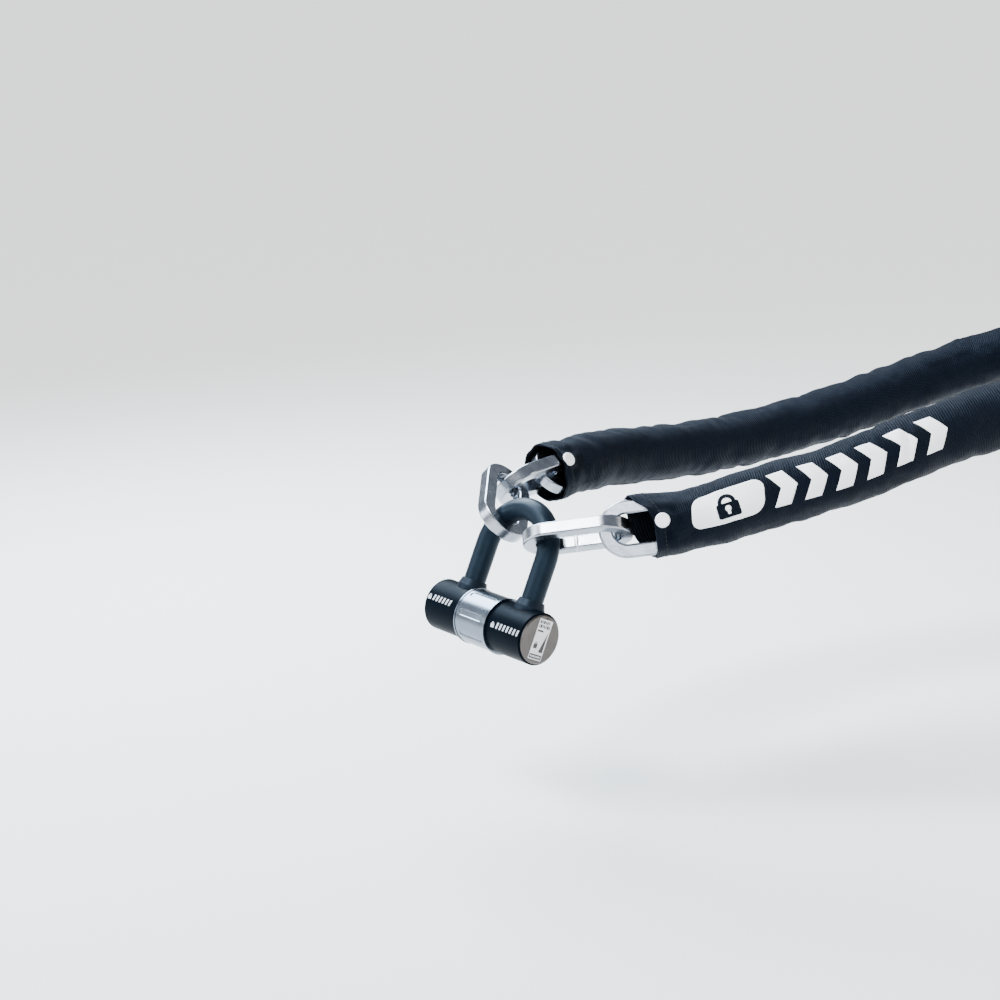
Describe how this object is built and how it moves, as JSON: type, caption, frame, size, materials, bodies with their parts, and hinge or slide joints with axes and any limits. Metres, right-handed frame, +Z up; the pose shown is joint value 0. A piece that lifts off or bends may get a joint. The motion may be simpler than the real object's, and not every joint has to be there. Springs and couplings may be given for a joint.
{
  "type": "chain lock",
  "caption": "Chain lock: mini shackle lock with a round crossbar and turning dust cover, closing a square-link chain in a ribbed fabric sleeve.",
  "frame": {"origin": "the far bight of the chain's loop, on the inner side of the sleeve, where it bears on what it is locked round", "axes": "+Z up; +X along the crossbar toward its labelled end; the lock is on the -Y side and the chain runs back toward +Y"},
  "size_m": [0.3745, 0.57, 0.2229],
  "materials": {
    "sleeve_fabric": "close transverse rib weave, matt",
    "white_rivet": "smooth, slightly glossy",
    "zinc_links": "bright zinc plate, soft sheen",
    "steel": "machined",
    "shackle_coat": "black, satin",
    "body_black": "black, satin",
    "end_disc": "brushed across, light edge",
    "collar_grey": "dark grey, matt",
    "seal_rubber": "matt",
    "cover_silver": "satin anodised, turned",
    "cylinder_brass": "machined"
  },
  "bodies": {
    "chain": {"sleeve": "sleeve_fabric", "sleeve_rivet_front": "white_rivet", "sleeve_rivet_rear": "white_rivet", "link_a2": "zinc_links", "link_b2": "zinc_links", "link_01": "zinc_links", "link_02": "zinc_links", "link_03": "zinc_links", "link_04": "zinc_links", "link_05": "zinc_links", "link_06": "zinc_links", "link_07": "zinc_links", "link_08": "zinc_links", "link_09": "zinc_links", "link_10": "zinc_links", "link_11": "zinc_links", "link_12": "zinc_links", "link_13": "zinc_links", "link_14": "zinc_links", "link_15": "zinc_links", "link_16": "zinc_links", "link_17": "zinc_links", "link_18": "zinc_links", "link_19": "zinc_links", "link_20": "zinc_links", "link_21": "zinc_links", "link_22": "zinc_links", "link_23": "zinc_links", "link_24": "zinc_links", "link_25": "zinc_links", "link_26": "zinc_links", "link_27": "zinc_links"},
    "end_link_a": {"link_a1": "zinc_links"},
    "end_link_b": {"link_b1": "zinc_links"},
    "shackle": {"shackle_core": "steel", "shackle_coating": "shackle_coat"},
    "crossbar": {"crossbar_shell": "body_black", "crossbar_core": "steel", "end_plug_left": "steel", "end_plug_right": "steel", "end_disc_left": "end_disc", "end_disc_right": "end_disc", "collar_left": "collar_grey", "collar_right": "collar_grey", "seal_left": "seal_rubber", "seal_right": "seal_rubber", "cylinder_housing": "cylinder_brass"},
    "dust_cover": {"dust_cover": "cover_silver"},
    "barrel": {"key_barrel": "cylinder_brass", "disc_stack": "cylinder_brass", "sidebar": "steel", "drill_guard": "steel", "cam": "steel"},
    "bolt_left": {"bolt_left": "steel"},
    "bolt_right": {"bolt_right": "steel"}
  },
  "joints": [
    {"name": "link_a_swing", "type": "hinge", "parent": "chain", "child": "end_link_a", "pos_m": [-0.12989, -0.42498, -0.10995], "axis": [0.9962, -0.0135, -0.0862], "range_deg": [-0.8, 24]},
    {"name": "link_b_swing", "type": "hinge", "parent": "chain", "child": "end_link_b", "pos_m": [-0.23699, -0.42353, -0.10068], "axis": [0.9962, -0.0135, -0.0862], "range_deg": [-0.8, 24]},
    {"name": "shackle_swing", "type": "hinge", "parent": "end_link_a", "child": "shackle", "pos_m": [-0.15914, -0.45046, -0.11685], "axis": [0.9969, -0.0327, -0.0713], "range_deg": [-8, 8]},
    {"name": "crossbar_slide", "type": "slide", "parent": "shackle", "child": "crossbar", "axis": [0, -0.4163, -0.9092], "range_m": [0, 0.04]},
    {"name": "key_turn", "type": "hinge", "parent": "crossbar", "child": "barrel", "pos_m": [-0.188, -0.478, -0.177], "axis": [0, 0.4163, 0.9092], "range_deg": [0, 90]},
    {"name": "bolt_left_slide", "type": "slide", "parent": "crossbar", "child": "bolt_left", "axis": [-1, 0, 0], "range_m": [0, 0.00566]},
    {"name": "bolt_right_slide", "type": "slide", "parent": "crossbar", "child": "bolt_right", "axis": [1, 0, 0], "range_m": [0, 0.00566]},
    {"name": "cover_turn", "type": "hinge", "parent": "crossbar", "child": "dust_cover", "pos_m": [-0.188, -0.478, -0.177], "axis": [-1, 0, 0], "range_deg": [0, 90]}
  ],
  "couplings": [
    {"joint": "link_b_swing", "follows": "link_a_swing", "ratio": 1},
    {"joint": "key_turn", "follows": "bolt_left_slide", "rad_per_m": 277.53},
    {"joint": "bolt_right_slide", "follows": "bolt_left_slide", "ratio": 1}
  ]
}
